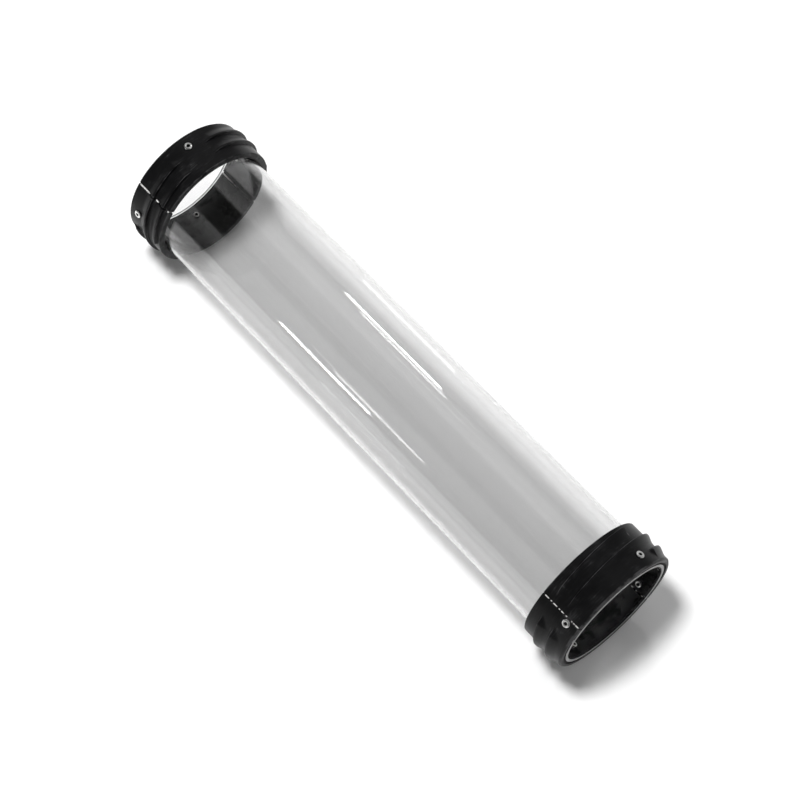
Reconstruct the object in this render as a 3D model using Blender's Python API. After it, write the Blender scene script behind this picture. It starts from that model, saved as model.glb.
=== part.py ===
"""Clear body tube of an ultraviolet water clarifier with riveted, threaded end collars.

The tube lies on its side. World X is the tube's axis, +Z is up, and the origin is on the
floor under the middle of the tube. Each end carries two black half collars. They make a ring
round the tube, held by four hollow rivets, with a two-start buttress thread outside.
"""
import math
from collections import namedtuple

import bmesh
import bpy
from mathutils import Matrix, Vector

MM = 0.001
GAP = 0.3 * MM
SHARP_EDGE = math.radians(28.0)

# Body tube
TUBE_LENGTH = 508.0 * MM
TUBE_OUTER_R = 50.5 * MM
TUBE_WALL = 2.5 * MM
TUBE_INNER_R = TUBE_OUTER_R - TUBE_WALL
TUBE_SIDES = 72

# Collar ring
COLLAR_WIDTH = 39.0 * MM
COLLAR_OUTER_R = 56.5 * MM
COLLAR_INNER_R = TUBE_OUTER_R + GAP
COLLAR_SIDES = 96
STEP = 2.0 * math.pi / COLLAR_SIDES
MOUTH_R = 52.6 * MM
MOUTH_DEPTH = 2.4 * MM
MOUTH_SLOPE = 1.2 * MM
OUTER_CHAMFER = 1.4 * MM
BACK_CHAMFER = 0.7 * MM

# Two-start buttress thread on the collar
THREAD_STARTS = 2
THREAD_LEAD = 25.0 * MM
THREAD_HEIGHT = 2.5 * MM
CREST_FLAT = 1.5 * MM
STEEP_FLANK = 0.9 * MM
RAMP_LENGTH = 5.9 * MM
ROOT_DEPTH = 1.0 * MM
CREST_AT_ZERO = 17.0 * MM
THREAD_BEGIN = math.radians(-270.0)
THREAD_STEPS = 94
BREAK_HALF = math.radians(10.5)
BREAK_RAMP = math.radians(9.0)
SUNK = 0.4 * MM

# Hollow rivets
RIVET_INSET = 11.0 * MM
RIVET_SIDES = 20
RIVET_SHANK_R = 1.75 * MM
RIVET_HOLE_R = RIVET_SHANK_R + GAP
DRILL_REACH = 5.0 * MM

# Domed head outside the collar, from rim to hollow: radius and height over its seat
HEAD_SEAT = COLLAR_OUTER_R + GAP + 0.05 * MM
HEAD_PROFILE = (
    (3.3 * MM, 0.0),
    (3.3 * MM, 0.3 * MM),
    (2.85 * MM, 0.83 * MM),
    (1.9 * MM, 1.15 * MM),
    (1.4 * MM, 1.1 * MM),
    (1.1 * MM, 0.7 * MM),
)

# Rolled end inside the tube, from hollow to rim: radius and depth under its seat
FLARE_SEAT = TUBE_INNER_R - GAP - 0.1 * MM
FLARE_PROFILE = (
    (1.1 * MM, 0.45 * MM),
    (1.5 * MM, 0.75 * MM),
    (2.1 * MM, 0.64 * MM),
    (2.5 * MM, 0.23 * MM),
    (2.5 * MM, 0.0),
)

# Each end: the side of the tube it is on, which is also the sense of its thread angle, the
# angles of its thread breaks and of the split between its halves, the split's width, and the
# angles of its hand-drilled rivets. Angles run from +Z towards -Y, in degrees
End = namedtuple("End", "name side phase split width rivets")
ENDS = (
    End("left", -1.0, -2.0, 48.7, 2.0 * MM, (-2.0, 74.5, 179.0, 260.0)),
    End("right", 1.0, 50.0, 46.0, 1.4 * MM, (50.0, 144.0, 234.0, 328.5)),
)

COLORS = {
    "tube": (0.86, 0.88, 0.88, 1.0),
    "collar": (0.012, 0.012, 0.013, 1.0),
    "rivet": (0.80, 0.80, 0.79, 1.0),
}


def clear_scene():
    """Remove every object, mesh and material."""
    for obj in list(bpy.data.objects):
        bpy.data.objects.remove(obj, do_unlink=True)
    for mesh in list(bpy.data.meshes):
        bpy.data.meshes.remove(mesh)
    for material in list(bpy.data.materials):
        bpy.data.materials.remove(material)


def make_material(name, kind):
    """A Principled material for one object."""
    material = bpy.data.materials.new(name)
    material.use_nodes = True
    shader = material.node_tree.nodes["Principled BSDF"]
    shader.inputs["Base Color"].default_value = COLORS[kind]
    if kind == "tube":
        shader.inputs["Roughness"].default_value = 0.06
        shader.inputs["IOR"].default_value = 1.49
        shader.inputs["Transmission Weight"].default_value = 1.0
    elif kind == "collar":
        shader.inputs["Roughness"].default_value = 0.38
    else:
        shader.inputs["Metallic"].default_value = 1.0
        shader.inputs["Roughness"].default_value = 0.28
    return material


def link_mesh(name, bm):
    """Turn a bmesh into a linked object with outward normals."""
    bmesh.ops.recalc_face_normals(bm, faces=bm.faces)
    mesh = bpy.data.meshes.new(name)
    bm.to_mesh(mesh)
    bm.free()
    obj = bpy.data.objects.new(name, mesh)
    bpy.context.scene.collection.objects.link(obj)
    return obj


def finish(obj, kind):
    """Shade an object, keep its hard edges sharp and give it its material."""
    obj.data.materials.clear()
    obj.data.materials.append(make_material(obj.name + "_material", kind))
    obj.data.shade_smooth()
    obj.data.set_sharp_from_angle(angle=SHARP_EDGE)
    return obj


def radial(angle):
    """Unit vector square to the tube's axis, turned from +Z towards -Y."""
    return Vector((0.0, -math.sin(angle), math.cos(angle)))


def loft(sections, closed):
    """Skin a list of equal-length closed loops; open lofts get end caps."""
    bm = bmesh.new()
    rings = [[bm.verts.new(point) for point in section] for section in sections]
    count = len(rings[0])
    pairs = list(zip(rings, rings[1:]))
    if closed:
        pairs.append((rings[-1], rings[0]))
    for ring, following in pairs:
        for i in range(count):
            j = (i + 1) % count
            bm.faces.new((ring[i], ring[j], following[j], following[i]))
    if not closed:
        bm.faces.new(rings[0])
        bm.faces.new(rings[-1])
    return bm


def boolean(target, tool, operation):
    """Apply one exact Boolean and delete the tool."""
    modifier = target.modifiers.new("cut", "BOOLEAN")
    modifier.operation = operation
    modifier.solver = "EXACT"
    modifier.object = tool
    graph = bpy.context.evaluated_depsgraph_get()
    mesh = bpy.data.meshes.new_from_object(target.evaluated_get(graph))
    target.modifiers.remove(modifier)
    old_mesh = target.data
    target.data = mesh
    bpy.data.meshes.remove(old_mesh)
    tool_mesh = tool.data
    bpy.data.objects.remove(tool, do_unlink=True)
    bpy.data.meshes.remove(tool_mesh)


def across_rivet(angle, turn):
    """Unit vector square to a rivet's axis, turned round that axis."""
    along = Vector((1.0, 0.0, 0.0))
    return radial(angle).cross(along) * math.cos(turn) + along * math.sin(turn)


def turned_sections(profile, angle, x):
    """Turn a profile of radius and reach pairs round the axis of a rivet."""
    sections = []
    for i in range(RIVET_SIDES):
        ray = across_rivet(angle, 2.0 * math.pi * i / RIVET_SIDES)
        centre = Vector((x, 0.0, 0.0))
        sections.append([centre + radial(angle) * reach + ray * size for size, reach in profile])
    return sections


def rivet_drill(angle, x):
    """A round cutter for one rivet hole, through the tube wall and the collar."""
    profile = (
        (RIVET_HOLE_R, TUBE_INNER_R - DRILL_REACH),
        (RIVET_HOLE_R, COLLAR_OUTER_R + DRILL_REACH),
    )
    sections = turned_sections(profile, angle, x)
    return link_mesh("drill", loft(list(zip(*sections)), False))


def collar_point(end, reach, gamma, inset):
    """Point on a collar: radius, thread angle and distance in from the collar's outer end."""
    spot = radial(math.radians(end.phase) + end.side * gamma) * reach
    spot.x = end.side * (TUBE_LENGTH / 2.0 - inset)
    return spot


def collar_ring(end):
    """The full collar ring without its thread."""
    profile = (
        (COLLAR_INNER_R, COLLAR_WIDTH - BACK_CHAMFER),
        (COLLAR_INNER_R, MOUTH_DEPTH),
        (MOUTH_R, MOUTH_DEPTH - MOUTH_SLOPE),
        (MOUTH_R, 0.0),
        (COLLAR_OUTER_R - OUTER_CHAMFER, 0.0),
        (COLLAR_OUTER_R, OUTER_CHAMFER),
        (COLLAR_OUTER_R, COLLAR_WIDTH - BACK_CHAMFER),
        (COLLAR_OUTER_R - BACK_CHAMFER, COLLAR_WIDTH),
        (COLLAR_INNER_R + BACK_CHAMFER, COLLAR_WIDTH),
    )
    sections = []
    for i in range(COLLAR_SIDES):
        gamma = (i + 0.5) * STEP
        sections.append([collar_point(end, reach, gamma, inset) for reach, inset in profile])
    return link_mesh("ring", loft(sections, True))


def thread_height(gamma):
    """Crest height over the ring, falling under its surface at each break in the thread."""
    nearest = round(gamma / math.pi) * math.pi
    share = (abs(gamma - nearest) - BREAK_HALF) / BREAK_RAMP
    share = min(max(share, 0.0), 1.0)
    return THREAD_HEIGHT * share - SUNK * (1.0 - share)


def thread_rib(end, start):
    """One start of the thread: a gentle ramp outboard, a flat crest and a steep inboard flank."""
    slope = THREAD_HEIGHT / RAMP_LENGTH
    root = COLLAR_OUTER_R - ROOT_DEPTH
    sections = []
    for i in range(THREAD_STEPS + 1):
        gamma = THREAD_BEGIN + i * STEP
        crest = CREST_AT_ZERO - THREAD_LEAD * gamma / (2.0 * math.pi)
        height = thread_height(gamma)
        top = COLLAR_OUTER_R + height
        flat_end = crest - CREST_FLAT
        ramp_end = flat_end - (height + ROOT_DEPTH) / slope
        profile = (
            (root, crest + STEEP_FLANK),
            (top, crest),
            (top, flat_end),
            (root, ramp_end),
        )
        turned = gamma + 2.0 * math.pi * start / THREAD_STARTS
        sections.append([collar_point(end, reach, turned, inset) for reach, inset in profile])
    return link_mesh("rib", loft(sections, False))


def half_space(split, width):
    """A block covering one side of the split, set back by half the split's width."""
    reach = 2.0 * COLLAR_OUTER_R
    along = radial(split)
    outward = radial(split + math.pi / 2.0)
    sections = []
    for x in (-TUBE_LENGTH, TUBE_LENGTH):
        loop = []
        for u, v in ((-reach, width / 2.0), (reach, width / 2.0), (reach, reach), (-reach, reach)):
            loop.append(Vector((x, 0.0, 0.0)) + along * u + outward * v)
        sections.append(loop)
    return link_mesh("half_space", loft(sections, False))


def rivet_spots(end):
    """Angle from +Z and position along X of each rivet of one collar."""
    x = end.side * (TUBE_LENGTH / 2.0 - RIVET_INSET)
    return [(math.radians(angle), x) for angle in end.rivets]


def build_collar(end):
    """Both halves of one collar, with their rivet holes."""
    halves = []
    for number in (1, 2):
        half = collar_ring(end)
        for start in range(THREAD_STARTS):
            boolean(half, thread_rib(end, start), "UNION")
        turned = math.radians(end.split) + math.pi * (number - 1)
        boolean(half, half_space(turned, end.width), "INTERSECT")
        middle = radial(turned + math.pi / 2.0)
        for angle, x in rivet_spots(end):
            if radial(angle).dot(middle) > 0.0:
                boolean(half, rivet_drill(angle, x), "DIFFERENCE")
        half.name = "%s_collar_half_%d" % (end.name, number)
        half.data.name = half.name
        halves.append(finish(half, "collar"))
    return halves


def build_tube():
    """The body tube with a hole for every rivet."""
    half_length = TUBE_LENGTH / 2.0
    inner = half_length - 2.0 * RIVET_INSET
    outline = [(TUBE_OUTER_R, x) for x in (-half_length, -inner, inner, half_length)]
    outline += [(TUBE_INNER_R, x) for x in (half_length, inner, -inner, -half_length)]
    sections = []
    for i in range(TUBE_SIDES):
        ray = radial(2.0 * math.pi * i / TUBE_SIDES)
        sections.append([ray * reach + Vector((x, 0.0, 0.0)) for reach, x in outline])
    tube = link_mesh("body_tube", loft(sections, True))
    for end in ENDS:
        for angle, x in rivet_spots(end):
            boolean(tube, rivet_drill(angle, x), "DIFFERENCE")
    tube.data.name = tube.name
    return finish(tube, "tube")


def build_rivet(name, angle, x):
    """A hollow rivet: domed head outside, shank through both walls, rolled end inside."""
    profile = [(RIVET_SHANK_R, FLARE_SEAT), (RIVET_SHANK_R, HEAD_SEAT)]
    profile += [(radius, HEAD_SEAT + height) for radius, height in HEAD_PROFILE]
    profile += [(radius, FLARE_SEAT - depth) for radius, depth in FLARE_PROFILE]
    return finish(link_mesh(name, loft(turned_sections(profile, angle, x), True)), "rivet")


def rest_on_floor(objects):
    """Lift every mesh so the lowest point of the whole assembly is at floor level."""
    lowest = min(vertex.co.z for obj in objects for vertex in obj.data.vertices)
    lift = Matrix.Translation((0.0, 0.0, -lowest))
    for obj in objects:
        obj.data.transform(lift)
        obj.data.update()


def build():
    """Build the whole assembly."""
    clear_scene()
    objects = [build_tube()]
    for end in ENDS:
        objects += build_collar(end)
        for number, (angle, x) in enumerate(rivet_spots(end), start=1):
            objects.append(build_rivet("%s_rivet_%d" % (end.name, number), angle, x))
    rest_on_floor(objects)


build()
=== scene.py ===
"""Looks of the clear clarifier tube with its riveted, threaded end collars."""
import math
from collections import namedtuple

import bmesh
import bpy
from mathutils import Matrix, Vector, noise


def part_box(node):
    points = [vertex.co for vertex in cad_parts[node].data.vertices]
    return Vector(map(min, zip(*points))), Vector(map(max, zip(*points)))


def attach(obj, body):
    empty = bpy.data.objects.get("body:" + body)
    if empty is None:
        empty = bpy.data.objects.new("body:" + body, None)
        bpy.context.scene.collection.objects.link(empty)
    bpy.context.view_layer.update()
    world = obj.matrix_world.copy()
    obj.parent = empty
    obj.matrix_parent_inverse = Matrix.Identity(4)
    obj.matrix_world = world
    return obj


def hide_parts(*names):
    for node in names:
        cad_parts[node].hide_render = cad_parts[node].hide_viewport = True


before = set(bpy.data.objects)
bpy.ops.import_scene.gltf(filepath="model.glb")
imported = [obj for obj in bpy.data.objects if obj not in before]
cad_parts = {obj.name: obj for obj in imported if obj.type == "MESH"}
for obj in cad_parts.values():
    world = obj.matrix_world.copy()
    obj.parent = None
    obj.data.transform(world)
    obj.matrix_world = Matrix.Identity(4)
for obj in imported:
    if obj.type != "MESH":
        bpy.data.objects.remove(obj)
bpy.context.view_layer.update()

MM = 0.001
TURN = 2.0 * math.pi
GAP = 0.3 * MM
SHARP_ANGLE = math.radians(35.0)

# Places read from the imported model
TUBE_LOW, TUBE_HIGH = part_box("body_tube")
COLLAR_LOW, COLLAR_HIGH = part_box("right_collar_half_1")
HALF_LENGTH = TUBE_HIGH.x
TUBE_R = (TUBE_HIGH.z - TUBE_LOW.z) / 2.0
AXIS_Z = (TUBE_HIGH.z + TUBE_LOW.z) / 2.0
COLLAR_WIDTH = COLLAR_HIGH.x - COLLAR_LOW.x

# Tube
TUBE_WALL = 2.5 * MM
TUBE_SIDES = 288
TUBE_EDGE = 0.25 * MM
FACES_END = 0.5

# Collar ring
HALVES = (1, 2)
COLLAR_R = TUBE_R + 6.0 * MM
COLLAR_BORE_R = TUBE_R + GAP
MOUTH_R = TUBE_R + 2.1 * MM
MOUTH_DEPTH = 2.4 * MM
MOUTH_SLOPE = 1.2 * MM
OUTER_CHAMFER = 1.4 * MM
BACK_CHAMFER = 0.7 * MM
COLLAR_COLUMNS = 240
SPLIT_ROUND = 0.15 * MM
SPLIT_STEPS = 3
WELD = 0.001 * MM

# How far each chamfer's corners are eased
EASE = 0.1 * MM
WIDE_EASE = 0.2 * MM
BACK_EASE = 0.15 * MM

# Thread: two starts of a rib with a steep flank on one side and a ramp on the other
LEAD = 25.0 * MM
PITCH = LEAD / 2.0
THREAD_LINES = range(-3, 5)
RIB_HEIGHT = 2.5 * MM
CREST_FLAT = 1.5 * MM
STEEP_FLANK = 0.9 * MM
RAMP_LENGTH = 5.9 * MM
ROOT_DEPTH = 1.0 * MM
CREST_AT_ZERO = 17.0 * MM
DEGREES_BEFORE = 82.5
DEGREES_AFTER = 270.0
FIRST_CREST = CREST_AT_ZERO - LEAD * DEGREES_BEFORE / 360.0
LAST_CREST = CREST_AT_ZERO + LEAD * DEGREES_AFTER / 360.0
FLANK_REACH = 2.0 * MM
END_FADE = 0.05 * MM
BREAK_HALF = math.radians(10.5)
BREAK_RAMP = math.radians(9.0)
SUNK = 0.4 * MM
CREST_ROUND = 0.3 * MM
ROOT_ROUND = 0.7 * MM

# Rows of the collar's mesh either side of each crest, closest where the rib turns sharply
ROW_MARGIN = 0.3 * MM
ROW_OFFSETS_MM = (
    -11.3, -10.3, -9.3, -8.6, -8.1, -7.7, -7.4, -7.1, -6.6, -5.8, -4.9, -4.0, -3.1, -2.4,
    -2.0, -1.7, -1.5, -1.3, -1.0, -0.6, -0.3, -0.12, 0.0, 0.12, 0.3, 0.5, 0.7, 0.85, 1.0,
)

# Rivets, with the span of the drill for their holes as shares of the tube's radius
RIVETS = (1, 2, 3, 4)
RIVET_SIDES = 48
SHANK_R = 1.75 * MM
HOLE_R = SHANK_R + GAP
DRILL_SPAN = (0.9, 1.2)
HOLLOW_R = 1.3 * MM
LIP_DEPTH = 0.6 * MM
UNDERCUT = 0.1 * MM
HEAD_R = 3.3 * MM
HEAD_HEIGHT = 1.15 * MM
HEAD_EDGE = 0.25 * MM
HEAD_CROWN_R = 2.1 * MM
HEAD_OUTER_STEPS = 8
HEAD_INNER_STEPS = 7
FLARE_R = 2.5 * MM
FLARE_HEIGHT = 0.75 * MM
FLARE_EDGE = 0.15 * MM
FLARE_CROWN_R = 1.8 * MM
FLARE_STEPS = 6
BORE_SHADE = 0.12 * MM

# Pale dabs in the splits, one bead near the ring's outside and one near its bore
BEAD_GAP = 0.15 * MM
BEAD_DEPTH = 0.6 * MM
BEAD_STEP = 0.35 * MM
BEAD_FEWEST_STEPS = 6
BEAD_SIDES = 12
BEAD_HEIGHT = 0.45 * MM
BEAD_BLUNTNESS = 6
BEAD_TIP = 0.02
BEAD_WAVE = 1.4 * MM
BEAD_WAVE_APART = 7.0
BEAD_WANDER = 0.15 * MM
BEAD_WIDTH_SHARE = 0.80
BEAD_WIDTH_VARIES = 0.20

# Where each pale dab begins and ends, as distances in from the tube's end
LEFT_DABS = ((1.8 * MM, 14.5 * MM), (22.0 * MM, 25.5 * MM), (36.2 * MM, 37.8 * MM))
LEFT_FAR_DABS = ((1.5 * MM, 15.2 * MM), (16.0 * MM, 19.4 * MM))
RIGHT_DABS = (
    (1.6 * MM, 5.0 * MM), (5.6 * MM, 7.2 * MM), (8.0 * MM, 9.2 * MM), (13.6 * MM, 15.2 * MM),
    (17.0 * MM, 19.8 * MM), (20.8 * MM, 22.4 * MM), (24.0 * MM, 28.0 * MM), (29.4 * MM, 31.0 * MM),
    (32.6 * MM, 36.8 * MM),
)
RIGHT_FAR_DABS = ((2.8 * MM, 5.0 * MM), (9.0 * MM, 10.6 * MM), (13.0 * MM, 15.4 * MM))

# Each end: side of the tube, angle of its thread breaks, angle and width of its split, pale dabs
End = namedtuple("End", "name side phase split width dabs")
ENDS = (
    End("left", -1.0, math.radians(-2.0), math.radians(48.7), 2.0 * MM, (LEFT_DABS, LEFT_FAR_DABS)),
    End("right", 1.0, math.radians(50.0), math.radians(46.0), 1.4 * MM, (RIGHT_DABS, RIGHT_FAR_DABS)),
)

# Clear plastic: how it bends light, how much it soaks up and how much its shadow lets through
CLEAR_IOR = 1.49
SMOKE_GREY = 0.5
SMOKE_DENSITY = 80.0
SHADOW_CLEARNESS = 0.85

# Camera, placed from the middle of the tube
CAMERA_FROM_MIDDLE = Vector((0.5573, -0.4841, 1.5152))
CAMERA_TILT = math.radians(25.56)
CAMERA_TURN = math.radians(48.36)
LENS = 96.93
SENSOR_WIDTH = 36.0
CLIP_END = 50.0

# Soft light from nearly overhead, in metres and watts
KEY_PLACE = Vector((-0.42, -0.38, 2.6))
KEY_SIZE = 0.5
KEY_POWER = 66.0

# Strip lights that the tube mirrors as streaks: the angle round the tube where the streak lies,
# where it begins and ends along the tube, and the strip's distance, width and power
Strip = namedtuple("Strip", "name angle begin end distance width power")
STRIPS = (
    Strip("strip_left", math.radians(49.4), -0.083, 0.020, 1.0, 0.055, 1.0),
    Strip("strip_right", math.radians(-13.2), -0.061, 0.046, 1.0, 0.055, 1.0),
    Strip("strip_low", math.radians(-40.6), -0.064, 0.037, 0.35, 0.012, 0.03),
    Strip("strip_faint", math.radians(42.9), -0.047, 0.047, 1.0, 0.02, 0.03),
)

# Room: its brightness from the -Y side, at 0, to the +Y side, at 1
ROOM_STOPS = ((0.0, 0.08), (0.25, 0.04), (0.56, 0.04), (0.60, 0.85), (0.85, 0.25))
BACKDROP_GREY = 0.9
FLOOR_HALF_WIDTH = 6.0
FLOOR_CELLS = 8
FLOOR_GLOW = 0.05


def radial(angle):
    """Unit vector square to the tube's axis, turned from +Z towards -Y."""
    return Vector((0.0, -math.sin(angle), math.cos(angle)))


def on_axis(x):
    """Point of the tube's axis."""
    return Vector((x, 0.0, AXIS_Z))


def smooth_max(a, b, k):
    """Larger of two values, rounded where they meet."""
    overlap = max(k - abs(a - b), 0.0) / k
    return max(a, b) + overlap * overlap * k / 4.0


def smooth_min(a, b, k):
    """Smaller of two values, rounded where they meet."""
    return -smooth_max(-a, -b, k)


def clamp(value, low, high):
    """Value kept between two limits."""
    return min(max(value, low), high)


def link(name, bm):
    """Turn a bmesh into an object in the scene."""
    bmesh.ops.recalc_face_normals(bm, faces=bm.faces)
    mesh = bpy.data.meshes.new(name)
    bm.to_mesh(mesh)
    bm.free()
    obj = bpy.data.objects.new(name, mesh)
    bpy.context.scene.collection.objects.link(obj)
    return obj


def smooth(obj):
    """Shade an object smooth, with its sharper edges kept sharp."""
    obj.data.shade_smooth()
    obj.data.set_sharp_from_angle(angle=SHARP_ANGLE)
    return obj


def skin(bm, rings):
    """Join each ring of vertices to the next one."""
    count = len(rings[0])
    for ring, following in zip(rings, rings[1:]):
        for i in range(count):
            j = (i + 1) % count
            bm.faces.new((ring[i], ring[j], following[j], following[i]))


def loft(sections, closed):
    """Skin equal-length closed loops; an open loft gets end caps."""
    bm = bmesh.new()
    rings = [[bm.verts.new(point) for point in section] for section in sections]
    if closed:
        skin(bm, rings + [rings[0]])
    else:
        skin(bm, rings)
        bm.faces.new(rings[0])
        bm.faces.new(rings[-1])
    return bm


def subtract(target, tool):
    """Cut a tool out of a mesh and delete the tool."""
    modifier = target.modifiers.new("cut", "BOOLEAN")
    modifier.operation = "DIFFERENCE"
    modifier.solver = "EXACT"
    modifier.object = tool
    graph = bpy.context.evaluated_depsgraph_get()
    mesh = bpy.data.meshes.new_from_object(target.evaluated_get(graph))
    target.modifiers.remove(modifier)
    old_mesh = target.data
    target.data = mesh
    bpy.data.meshes.remove(old_mesh)
    tool_mesh = tool.data
    bpy.data.objects.remove(tool, do_unlink=True)
    bpy.data.meshes.remove(tool_mesh)


# ---------------------------------------------------------------- collars

def thread_height(gamma):
    """Height of the crest over the ring, falling away at each break."""
    nearest = round(gamma / math.pi) * math.pi
    share = clamp((abs(gamma - nearest) - BREAK_HALF) / BREAK_RAMP, 0.0, 1.0)
    return RIB_HEIGHT * share - SUNK * (1.0 - share)


def crests(gamma):
    """Insets from the tube's end at which the thread's crests cross one angle."""
    return [CREST_AT_ZERO - LEAD * gamma / TURN + PITCH * line for line in THREAD_LINES]


def lift_at(gamma, inset):
    """Height of the thread over the ring at one spot."""
    lift = 0.0
    peak = thread_height(gamma)
    for crest in crests(gamma):
        present = min((crest - FIRST_CREST) / END_FADE, (LAST_CREST - crest) / END_FADE)
        present = clamp(present, 0.0, 1.0)
        away = inset - crest
        if present == 0.0 or away > FLANK_REACH or away < -PITCH:
            continue
        flank = peak - (peak + ROOT_DEPTH) * away / STEEP_FLANK
        ramp = peak + (away + CREST_FLAT) * RIB_HEIGHT / RAMP_LENGTH
        rib = smooth_min(smooth_min(flank, ramp, CREST_ROUND), peak, CREST_ROUND)
        rib = rib * present - SUNK * (1.0 - present)
        lift = smooth_max(lift, rib, ROOT_ROUND) if rib > -ROOT_ROUND else lift
    return lift


def collar_rows(gamma):
    """Insets of the thread's rows at one angle, following the helix."""
    low = OUTER_CHAMFER + ROW_MARGIN
    high = COLLAR_WIDTH - BACK_CHAMFER - WIDE_EASE
    rows = []
    for crest in crests(gamma):
        rows += [clamp(crest + offset * MM, low, high) for offset in ROW_OFFSETS_MM]
    return rows


def collar_profile(gamma):
    """One section through the collar: radius, inset and the direction it rounds off in."""
    top = COLLAR_R
    edge = OUTER_CHAMFER
    back = COLLAR_WIDTH
    points = [
        (COLLAR_BORE_R, MOUTH_DEPTH, 1.0, 0.0),
        (MOUTH_R, MOUTH_DEPTH - MOUTH_SLOPE, 1.0, 0.3),
        (MOUTH_R, WIDE_EASE, 1.0, 0.3),
        (MOUTH_R + WIDE_EASE, 0.0, 0.5, 0.9),
        (top - edge - WIDE_EASE, 0.0, 0.0, 1.0),
        (top - edge + EASE, EASE, -0.4, 0.9),
        (top - EASE, edge - EASE, -0.9, 0.4),
        (top, edge + WIDE_EASE, -1.0, 0.0),
    ]
    for inset in collar_rows(gamma):
        points.append((top + lift_at(gamma, inset), inset, -1.0, 0.0))
    points += [
        (top, back - BACK_CHAMFER - EASE, -1.0, 0.0),
        (top - EASE, back - BACK_CHAMFER + BACK_EASE, -0.9, -0.4),
        (top - BACK_CHAMFER + EASE, back - EASE, -0.4, -0.9),
        (top - BACK_CHAMFER - WIDE_EASE, back, 0.0, -1.0),
        (COLLAR_BORE_R + BACK_CHAMFER, back, 0.0, -1.0),
        (COLLAR_BORE_R, back - BACK_CHAMFER, 0.7, -0.7),
    ]
    return points


def build_collar_half(end, number):
    """One half collar with its thread, rounded where it was parted from the other half."""
    start = end.split + math.pi * (number - 1)
    sections = []

    def section(place, shrink):
        """Loop of points at one place round the ring, drawn in by a little at a parted face."""
        gamma = (place(COLLAR_R) - end.phase) / end.side
        loop = []
        for reach, inset, push_r, push_s in collar_profile(gamma):
            reach += push_r * shrink
            inset += push_s * shrink
            loop.append(on_axis(end.side * (HALF_LENGTH - inset)) + radial(place(reach)) * reach)
        return loop

    def near(distance, flip):
        """Places at one distance from the face where this half was parted."""
        def place(reach):
            swing = math.asin((end.width / 2.0 + distance) / reach)
            return start + (math.pi - swing if flip else swing)
        return place

    def across(share):
        """Places at one share of the way from one parted face to the other."""
        def place(reach):
            swing = math.asin((end.width / 2.0 + SPLIT_ROUND) / reach)
            return start + swing + share * (math.pi - 2.0 * swing)
        return place

    rounding = []
    for i in range(SPLIT_STEPS):
        turn = math.pi / 2.0 * i / SPLIT_STEPS
        rounding.append((SPLIT_ROUND * (1.0 - math.cos(turn)), SPLIT_ROUND * (1.0 - math.sin(turn))))
    for distance, shrink in rounding:
        sections.append(section(near(distance, False), shrink))
    for i in range(COLLAR_COLUMNS + 1):
        sections.append(section(across(i / COLLAR_COLUMNS), 0.0))
    for distance, shrink in reversed(rounding):
        sections.append(section(near(distance, True), shrink))
    bm = loft(sections, False)
    bmesh.ops.remove_doubles(bm, verts=bm.verts, dist=WELD)
    bmesh.ops.dissolve_degenerate(bm, edges=bm.edges, dist=WELD)
    half = link("%s_collar_half_%d_moulding" % (end.name, number), bm)
    middle = radial(start + math.pi / 2.0)
    for rivet in RIVETS:
        angle, x = rivet_place(rivet_node(end.name, rivet))
        if radial(angle).dot(middle) > 0.0:
            subtract(half, drill(angle, x))
    return smooth(half)


# ---------------------------------------------------------------- rivets

def rivet_node(end_name, number):
    """Name of one rivet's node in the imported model."""
    return "%s_rivet_%d" % (end_name, number)


def rivet_place(node):
    """Angle round the tube and place along it of one rivet."""
    points = [vertex.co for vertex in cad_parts[node].data.vertices]
    middle = sum(points, Vector()) / len(points)
    return math.atan2(-middle.y, middle.z - AXIS_Z), middle.x


def lathe(profile, angle, x, sides):
    """Sections of a profile of radius and reach turned round a radius of the tube."""
    along = Vector((1.0, 0.0, 0.0))
    out = radial(angle)
    across = out.cross(along)
    sections = []
    for i in range(sides):
        turn = TURN * i / sides
        ray = across * math.cos(turn) + along * math.sin(turn)
        sections.append([on_axis(x) + out * reach + ray * size for size, reach in profile])
    return sections


def drill(angle, x):
    """Cutter for one rivet hole."""
    profile = [(HOLE_R, share * TUBE_R) for share in DRILL_SPAN]
    return link("drill", loft(list(zip(*lathe(profile, angle, x, RIVET_SIDES))), False))


def arc(r0, h0, r1, h1, steps, bulge):
    """Points of a quarter ellipse between two profile points."""
    points = []
    for i in range(steps + 1):
        turn = math.pi / 2.0 * i / steps
        if bulge:
            points.append((r1 + (r0 - r1) * math.cos(turn), h0 + (h1 - h0) * math.sin(turn)))
        else:
            points.append((r0 + (r1 - r0) * math.sin(turn), h1 + (h0 - h1) * math.cos(turn)))
    return points


def build_rivet(end_name, number):
    """A hollow rivet with a domed head and a rolled inner end."""
    node = rivet_node(end_name, number)
    angle, x = rivet_place(node)
    seat = COLLAR_R + GAP
    flare = TUBE_R - TUBE_WALL - GAP
    lip = HEAD_HEIGHT - LIP_DEPTH
    inner_lip = FLARE_HEIGHT - LIP_DEPTH
    head = arc(HEAD_R, HEAD_EDGE, HEAD_CROWN_R, HEAD_HEIGHT, HEAD_OUTER_STEPS, True)
    head += arc(HEAD_CROWN_R, HEAD_HEIGHT, HOLLOW_R, lip, HEAD_INNER_STEPS, False)[1:]
    roll = arc(HOLLOW_R, inner_lip, FLARE_CROWN_R, FLARE_HEIGHT, FLARE_STEPS, True)
    roll += arc(FLARE_CROWN_R, FLARE_HEIGHT, FLARE_R, FLARE_EDGE, FLARE_STEPS, False)[1:]
    profile = [(SHANK_R, flare), (SHANK_R, seat), (HEAD_R - UNDERCUT, seat)]
    profile += [(size, seat + height) for size, height in head]
    profile += [(size, flare - depth) for size, depth in roll]
    profile.append((FLARE_R - UNDERCUT, flare))
    return smooth(link(node + "_metal", loft(lathe(profile, angle, x, RIVET_SIDES), True)))


# ---------------------------------------------------------------- sealant and tube

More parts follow.
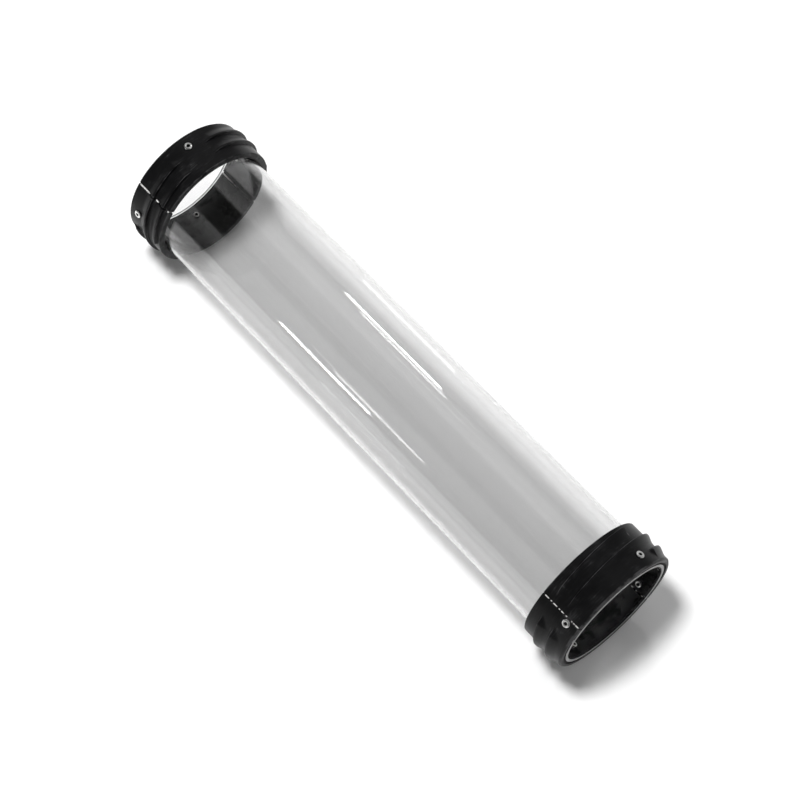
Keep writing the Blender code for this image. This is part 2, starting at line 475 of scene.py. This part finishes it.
def build_bead(end, number, spans):
    """A row of thin, uneven pale dabs showing in one split."""
    middle = end.split + math.pi * (number - 1)
    half = end.width / 2.0 - BEAD_GAP
    level = COLLAR_R - BEAD_DEPTH if number == 1 else COLLAR_BORE_R + BEAD_DEPTH
    bm = bmesh.new()
    for first, last in spans:
        steps = max(BEAD_FEWEST_STEPS, round((last - first) / BEAD_STEP))
        rings = []
        for i in range(steps + 1):
            share = i / steps
            swell = math.sqrt(max(1.0 - (2.0 * share - 1.0) ** BEAD_BLUNTNESS, BEAD_TIP))
            inset = first + (last - first) * share
            spot = Vector((inset / BEAD_WAVE, BEAD_WAVE_APART * number, end.split))
            wander = noise.noise(spot)
            size = half * swell * (BEAD_WIDTH_SHARE + BEAD_WIDTH_VARIES * wander)
            centre = level + BEAD_WANDER * wander
            ring = []
            for k in range(BEAD_SIDES):
                turn = TURN * k / BEAD_SIDES
                reach = centre + BEAD_HEIGHT * swell * math.sin(turn)
                swing = math.asin(size * math.cos(turn) / reach)
                point = on_axis(end.side * (HALF_LENGTH - inset)) + radial(middle + swing) * reach
                ring.append(bm.verts.new(point))
            rings.append(ring)
        skin(bm, rings)
        bm.faces.new(rings[0])
        bm.faces.new(rings[-1])
    return smooth(link("%s_split_bead_%d" % (end.name, number), bm))


def build_tube():
    """The clear tube, with eased edges and a hole for each rivet."""
    inner = TUBE_R - TUBE_WALL
    stations = [HALF_LENGTH - COLLAR_WIDTH / 2.0, HALF_LENGTH - COLLAR_WIDTH]
    stations += [HALF_LENGTH * share for share in (0.5, 0.0, -0.5)]
    stations += [-HALF_LENGTH + COLLAR_WIDTH, -HALF_LENGTH + COLLAR_WIDTH / 2.0]
    outline = [(TUBE_R, HALF_LENGTH - TUBE_EDGE)] + [(TUBE_R, x) for x in stations]
    outline += [(TUBE_R, -HALF_LENGTH + TUBE_EDGE), (TUBE_R - TUBE_EDGE, -HALF_LENGTH)]
    outline += [(inner + TUBE_EDGE, -HALF_LENGTH), (inner, -HALF_LENGTH + TUBE_EDGE)]
    outline += [(inner, x) for x in reversed(stations)]
    outline += [(inner, HALF_LENGTH - TUBE_EDGE), (inner + TUBE_EDGE, HALF_LENGTH)]
    outline += [(TUBE_R - TUBE_EDGE, HALF_LENGTH)]
    sections = []
    for i in range(TUBE_SIDES):
        ray = radial(TURN * i / TUBE_SIDES)
        sections.append([on_axis(x) + ray * reach for reach, x in outline])
    tube = link("clear_tube", loft(sections, True))
    for end in ENDS:
        for rivet in RIVETS:
            angle, x = rivet_place(rivet_node(end.name, rivet))
            subtract(tube, drill(angle, x))
    return smooth(tube)


# ---------------------------------------------------------------- materials

class Nodes:
    """Short calls for building one material's nodes."""

    def __init__(self, name):
        self.material = bpy.data.materials.new(name)
        self.material.use_nodes = True
        self.tree = self.material.node_tree
        self.shader = self.tree.nodes["Principled BSDF"]
        self.output = self.tree.nodes["Material Output"]
        self.place = self.add("ShaderNodeTexCoord").outputs["Object"]

    def add(self, kind, **values):
        """A new node, with some of its settings."""
        node = self.tree.nodes.new(kind)
        for key, value in values.items():
            setattr(node, key, value)
        return node

    def put(self, source, target):
        """Link an output to an input."""
        self.tree.links.new(source, target)

    def give(self, source, name):
        """Link an output to an input of the shader."""
        self.put(source, self.shader.inputs[name])

    def fix(self, name, value):
        """Set an input of the shader to one value."""
        self.shader.inputs[name].default_value = value

    def stretched(self, scale):
        """Coordinates with a scale of their own along each axis."""
        mapping = self.add("ShaderNodeMapping")
        mapping.inputs["Scale"].default_value = scale
        self.put(self.place, mapping.inputs["Vector"])
        return mapping.outputs["Vector"]

    def noise(self, scale, detail=4.0, roughness=0.5, vector=None):
        """Noise over the piece's own coordinates or over others."""
        node = self.add("ShaderNodeTexNoise")
        node.inputs["Scale"].default_value = scale
        node.inputs["Detail"].default_value = detail
        node.inputs["Roughness"].default_value = roughness
        self.put(vector if vector is not None else self.place, node.inputs["Vector"])
        return node.outputs["Fac"]

    def round_ring(self, across, around):
        """Coordinates that run along the tube's axis and round it, to draw marks round a ring."""
        axes = self.add("ShaderNodeSeparateXYZ")
        self.put(self.place, axes.inputs["Vector"])
        height = self.work_out("SUBTRACT", axes.outputs["Z"], AXIS_Z)
        joined = self.add("ShaderNodeCombineXYZ")
        self.put(self.work_out("MULTIPLY", axes.outputs["X"], across), joined.inputs["X"])
        turn = self.work_out("ARCTAN2", axes.outputs["Y"], height)
        self.put(self.work_out("MULTIPLY", turn, around), joined.inputs["Y"])
        return joined.outputs["Vector"]

    def ramp(self, source, *stops):
        """A colour ramp; each stop is a position and a grey or a colour."""
        node = self.add("ShaderNodeValToRGB")
        fill_ramp(node, stops)
        self.put(source, node.inputs["Fac"])
        return node.outputs["Color"]

    def work_out(self, operation, a, b):
        """One calculation on two values or outputs."""
        node = self.add("ShaderNodeMath", operation=operation)
        for socket, value in zip(node.inputs, (a, b)):
            if isinstance(value, float):
                socket.default_value = value
            else:
                self.put(value, socket)
        return node.outputs[0]

    def bump(self, height, strength, distance, normal=None):
        """Bump from a height, over another bump if one is given."""
        node = self.add("ShaderNodeBump")
        node.inputs["Strength"].default_value = strength
        node.inputs["Distance"].default_value = distance
        self.put(height, node.inputs["Height"])
        if normal is not None:
            self.put(normal, node.inputs["Normal"])
        return node.outputs["Normal"]


def fill_ramp(node, stops):
    """Give a colour ramp its stops."""
    elements = node.color_ramp.elements
    while len(elements) < len(stops):
        elements.new(1.0)
    for element, (position, value) in zip(elements, stops):
        element.position = position
        if isinstance(value, float):
            value = (value, value, value)
        element.color = (*value, 1.0)


def collar_material():
    """Black moulded plastic: fine grain, turning marks round the ring and scuffs, with a painted
    highlight along the crest edges.
    """
    n = Nodes("black_moulded_plastic")
    scuff = n.noise(60.0, 6.0, 0.65)
    marks = n.noise(1.0, 5.0, 0.7, n.round_ring(1300.0, 5.0))
    tone_and_highlight = n.work_out("ADD", n.work_out("MULTIPLY", scuff, 0.45), n.work_out("MULTIPLY", marks, 0.55))
    # Painted highlight: the base colour is lightened along sharp crest edges, picked out by
    # pointiness.
    edges = n.ramp(n.add("ShaderNodeNewGeometry").outputs["Pointiness"], (0.505, 0.0), (0.56, 1.0))
    painted_crest_highlight = n.work_out("MULTIPLY", edges, n.ramp(scuff, (0.38, 0.25), (0.62, 1.0)))
    tone_and_highlight = n.work_out("ADD", tone_and_highlight, n.work_out("MULTIPLY", painted_crest_highlight, 0.36))
    clean = (0.30, (0.004, 0.004, 0.0042))
    dull = (0.52, (0.006, 0.006, 0.0063))
    # The two lightest stops come from random tone and from the painted crest highlight.
    rubbed_and_highlit = (0.58, (0.011, 0.011, 0.0115))
    scratched_and_highlit = (0.70, (0.055, 0.055, 0.056))
    n.give(n.ramp(tone_and_highlight, clean, dull, rubbed_and_highlit, scratched_and_highlit), "Base Color")
    n.give(n.ramp(tone_and_highlight, (0.3, 0.27), (0.55, 0.36), (0.7, 0.5)), "Roughness")
    grain = n.bump(n.noise(1400.0, 3.0, 0.6), 0.3, 0.05 * MM)
    turned = n.bump(marks, 0.25, 0.06 * MM, grain)
    n.give(n.bump(n.noise(140.0, 4.0, 0.5), 0.2, 0.12 * MM, turned), "Normal")
    n.fix("Specular IOR Level", 0.09)
    return n.material


def rivet_material():
    """Bright aluminium with fine marks and small dents."""
    n = Nodes("rivet_aluminium")
    patch = n.noise(420.0, 5.0, 0.6)
    grey = (0.3, (0.62, 0.62, 0.61))
    bright = (0.6, (0.84, 0.84, 0.83))
    brightest = (0.8, (0.92, 0.92, 0.91))
    n.give(n.ramp(patch, grey, bright, brightest), "Base Color")
    n.give(n.ramp(patch, (0.3, 0.40), (0.7, 0.24)), "Roughness")
    n.fix("Metallic", 1.0)
    marks = n.bump(n.noise(2200.0, 2.0, 0.5), 0.3, 0.03 * MM)
    n.give(n.bump(n.noise(500.0, 3.0, 0.5), 0.3, 0.08 * MM, marks), "Normal")
    return n.material


def rivet_hollow_shade_material():
    """Metal down a rivet's hollow, darkened with painted shade and unevenly toned."""
    n = Nodes("rivet_bore")
    n.give(n.ramp(n.noise(700.0, 4.0, 0.6), (0.3, 0.012), (0.7, 0.05)), "Base Color")
    n.give(n.ramp(n.noise(300.0), (0.3, 0.5), (0.7, 0.75)), "Roughness")
    n.fix("Metallic", 0.6)
    n.give(n.bump(n.noise(1500.0), 0.3, 0.04 * MM), "Normal")
    return n.material


def cut_edge_material():
    """Sawn end of the tube: frosted, with fine saw marks."""
    n = Nodes("sawn_tube_end")
    marks = n.noise(1.0, 4.0, 0.6, n.stretched((900.0, 900.0, 90.0)))
    n.give(n.ramp(marks, (0.3, 0.34), (0.7, 0.60)), "Base Color")
    n.give(n.ramp(marks, (0.3, 0.35), (0.7, 0.6)), "Roughness")
    n.fix("Transmission Weight", 0.35)
    n.fix("IOR", CLEAR_IOR)
    n.give(n.bump(marks, 0.3, 0.06 * MM), "Normal")
    return n.material


def split_dab_material():
    """Pale, slightly uneven dabs."""
    n = Nodes("pale_split_dabs")
    dark = (0.35, (0.42, 0.42, 0.41))
    pale = (0.6, (0.82, 0.82, 0.80))
    n.give(n.ramp(n.noise(900.0, 4.0, 0.6), dark, pale), "Base Color")
    n.give(n.ramp(n.noise(500.0), (0.3, 0.25), (0.7, 0.5)), "Roughness")
    n.give(n.bump(n.noise(1200.0), 0.3, 0.05 * MM), "Normal")
    return n.material


def tube_material():
    """Smoke-clear extruded plastic with faint draw lines along its length."""
    n = Nodes("clear_extruded_tube")
    draw = n.noise(1.0, 4.0, 0.6, n.stretched((0.6, 260.0, 260.0)))
    haze = n.noise(14.0, 5.0, 0.6)
    n.give(n.ramp(draw, (0.3, 0.97), (0.7, 1.0)), "Base Color")
    n.give(n.ramp(haze, (0.35, 0.015), (0.7, 0.04)), "Roughness")
    n.fix("Transmission Weight", 1.0)
    n.fix("IOR", CLEAR_IOR)
    n.give(n.bump(draw, 0.012, 0.05 * MM), "Normal")
    clear = n.add("ShaderNodeBsdfTransparent")
    clear.inputs["Color"].default_value = (SHADOW_CLEARNESS, SHADOW_CLEARNESS, SHADOW_CLEARNESS, 1.0)
    mix = n.add("ShaderNodeMixShader")
    n.put(n.add("ShaderNodeLightPath").outputs["Is Shadow Ray"], mix.inputs["Fac"])
    n.put(n.shader.outputs[0], mix.inputs[1])
    n.put(clear.outputs[0], mix.inputs[2])
    n.put(mix.outputs[0], n.output.inputs["Surface"])
    smoke = n.add("ShaderNodeVolumeAbsorption")
    smoke.inputs["Color"].default_value = (SMOKE_GREY, SMOKE_GREY, SMOKE_GREY, 1.0)
    smoke.inputs["Density"].default_value = SMOKE_DENSITY
    n.put(smoke.outputs["Volume"], n.output.inputs["Volume"])
    return n.material


def floor_material():
    """Matt white floor."""
    n = Nodes("pale_floor")
    n.give(n.ramp(n.noise(6.0, 3.0), (0.0, 0.93), (1.0, 0.95)), "Base Color")
    n.fix("Roughness", 0.9)
    n.fix("Specular IOR Level", 0.1)
    n.fix("Emission Color", (1.0, 1.0, 1.0, 1.0))
    n.fix("Emission Strength", FLOOR_GLOW)
    return n.material


def in_hollow(node):
    """Test for the faces of a rivet's hollow that lie below its rolled lips, where shade is painted.
    """
    angle, x = rivet_place(node)
    middle = on_axis(x)
    out = radial(angle)

    def chosen(face):
        away = face.center - middle
        reach = away.dot(out)
        return (away - out * reach).length < HOLLOW_R + BORE_SHADE

    return chosen


def at_cut_end(face):
    """Test for the sawn end faces of the tube and their eased edges."""
    return abs(face.normal.x) > FACES_END and abs(face.center.x) > HALF_LENGTH - 2.0 * TUBE_EDGE


def paint(piece, material, chosen):
    """Give the faces that pass a test a second material."""
    piece.data.materials.append(material)
    slot = len(piece.data.materials) - 1
    for face in piece.data.polygons:
        if chosen(face):
            face.material_index = slot


# ---------------------------------------------------------------- stage

def build_camera():
    """The camera that sees the tube as the photo does."""
    data = bpy.data.cameras.new("camera")
    data.lens = LENS
    data.sensor_width = SENSOR_WIDTH
    data.clip_end = CLIP_END
    camera = bpy.data.objects.new("camera", data)
    camera.location = on_axis(0.0) + CAMERA_FROM_MIDDLE
    camera.rotation_euler = (CAMERA_TILT, 0.0, CAMERA_TURN)
    bpy.context.scene.collection.objects.link(camera)
    bpy.context.scene.camera = camera


def add_area(name, shape, size, power):
    """An area light that the camera doesn't see."""
    data = bpy.data.lights.new(name, "AREA")
    data.shape = shape
    data.size = size
    data.energy = power
    light = bpy.data.objects.new(name, data)
    light.visible_camera = False
    bpy.context.scene.collection.objects.link(light)
    return light


def add_key():
    """The key light, aimed at the origin and left out of reflections and refractions."""
    key = add_area("key", "SQUARE", KEY_SIZE, KEY_POWER)
    key.location = KEY_PLACE
    key.rotation_euler = (-KEY_PLACE).to_track_quat("-Z", "Y").to_euler()
    key.visible_glossy = False
    key.visible_transmission = False


def mirrored_spot(x, angle, distance):
    """Place in the room that the camera sees mirrored at one spot on the tube."""
    spot = on_axis(x) + radial(angle) * TUBE_R
    view = (spot - (on_axis(0.0) + CAMERA_FROM_MIDDLE)).normalized()
    normal = radial(angle)
    return spot + (view - 2.0 * view.dot(normal) * normal) * distance


def add_strip(strip):
    """A strip light placed where the tube mirrors it as a streak between two spots."""
    first, last = [mirrored_spot(x, strip.angle, strip.distance) for x in (strip.begin, strip.end)]
    middle = (first + last) / 2.0
    target = on_axis((strip.begin + strip.end) / 2.0) + radial(strip.angle) * TUBE_R
    facing = (target - middle).normalized()
    along = (last - first).normalized()
    across = facing.cross(along).normalized()
    along = across.cross(facing).normalized()
    light = add_area(strip.name, "RECTANGLE", (last - first).length, strip.power)
    light.data.size_y = strip.width
    turned = Matrix((along, across, -facing)).transposed().to_4x4()
    light.matrix_world = Matrix.Translation(middle) @ turned


def build_floor():
    """The floor that the object lies on."""
    bm = bmesh.new()
    bmesh.ops.create_grid(bm, x_segments=FLOOR_CELLS, y_segments=FLOOR_CELLS, size=FLOOR_HALF_WIDTH)
    floor = link("floor", bm)
    if floor.data.polygons[0].normal.z < 0.0:
        floor.data.flip_normals()
    floor.data.materials.append(floor_material())


def build_world():
    """The room: dark on one side and bright on the other, with a pale backdrop for the camera."""
    world = bpy.data.worlds.new("studio")
    bpy.context.scene.world = world
    world.use_nodes = True
    tree = world.node_tree
    room = tree.nodes["Background"]
    split = tree.nodes.new("ShaderNodeSeparateXYZ")
    ramp = tree.nodes.new("ShaderNodeValToRGB")
    spread = tree.nodes.new("ShaderNodeMapRange")
    backdrop = tree.nodes.new("ShaderNodeBackground")
    seen = tree.nodes.new("ShaderNodeMixShader")
    direction = tree.nodes.new("ShaderNodeTexCoord").outputs["Generated"]
    camera_ray = tree.nodes.new("ShaderNodeLightPath").outputs["Is Camera Ray"]
    spread.inputs["From Min"].default_value = -1.0
    backdrop.inputs["Color"].default_value = (BACKDROP_GREY, BACKDROP_GREY, BACKDROP_GREY, 1.0)
    fill_ramp(ramp, ROOM_STOPS)
    tree.links.new(direction, split.inputs["Vector"])
    tree.links.new(split.outputs["Y"], spread.inputs["Value"])
    tree.links.new(spread.outputs["Result"], ramp.inputs["Fac"])
    tree.links.new(ramp.outputs["Color"], room.inputs["Color"])
    tree.links.new(camera_ray, seen.inputs["Fac"])
    tree.links.new(room.outputs["Background"], seen.inputs[1])
    tree.links.new(backdrop.outputs["Background"], seen.inputs[2])
    tree.links.new(seen.outputs["Shader"], tree.nodes["World Output"].inputs["Surface"])


def build_stage():
    """Floor, room, lights and the plain way of showing tones."""
    build_floor()
    build_world()
    add_key()
    for strip in STRIPS:
        add_strip(strip)
    bpy.context.scene.view_settings.view_transform = "Standard"


def dress(piece, material, slot, *nodes):
    """Give a piece its material and body, and hide the CAD nodes it stands for; the slot is not used.
    """
    piece.data.materials.clear()
    piece.data.materials.append(material)
    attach(piece, "root")
    if nodes:
        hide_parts(*nodes)


def build():
    """Every piece of the object, then the camera and the stage."""
    plastic = collar_material()
    metal = rivet_material()
    hollow_shade = rivet_hollow_shade_material()
    dab_material = split_dab_material()
    tube = build_tube()
    dress(tube, tube_material(), "clear_tube", "body_tube")
    paint(tube, cut_edge_material(), at_cut_end)
    for end in ENDS:
        for number in HALVES:
            half = build_collar_half(end, number)
            dress(half, plastic, "collar", "%s_collar_half_%d" % (end.name, number))
        for number in RIVETS:
            rivet = build_rivet(end.name, number)
            dress(rivet, metal, "rivet", rivet_node(end.name, number))
            # The rivet's hollow gets a dark material: painted shade.
            paint(rivet, hollow_shade, in_hollow(rivet_node(end.name, number)))
        for number, spans in zip(HALVES, end.dabs):
            dress(build_bead(end, number, spans), dab_material, "clear_tube")
    build_camera()
    build_stage()


build()
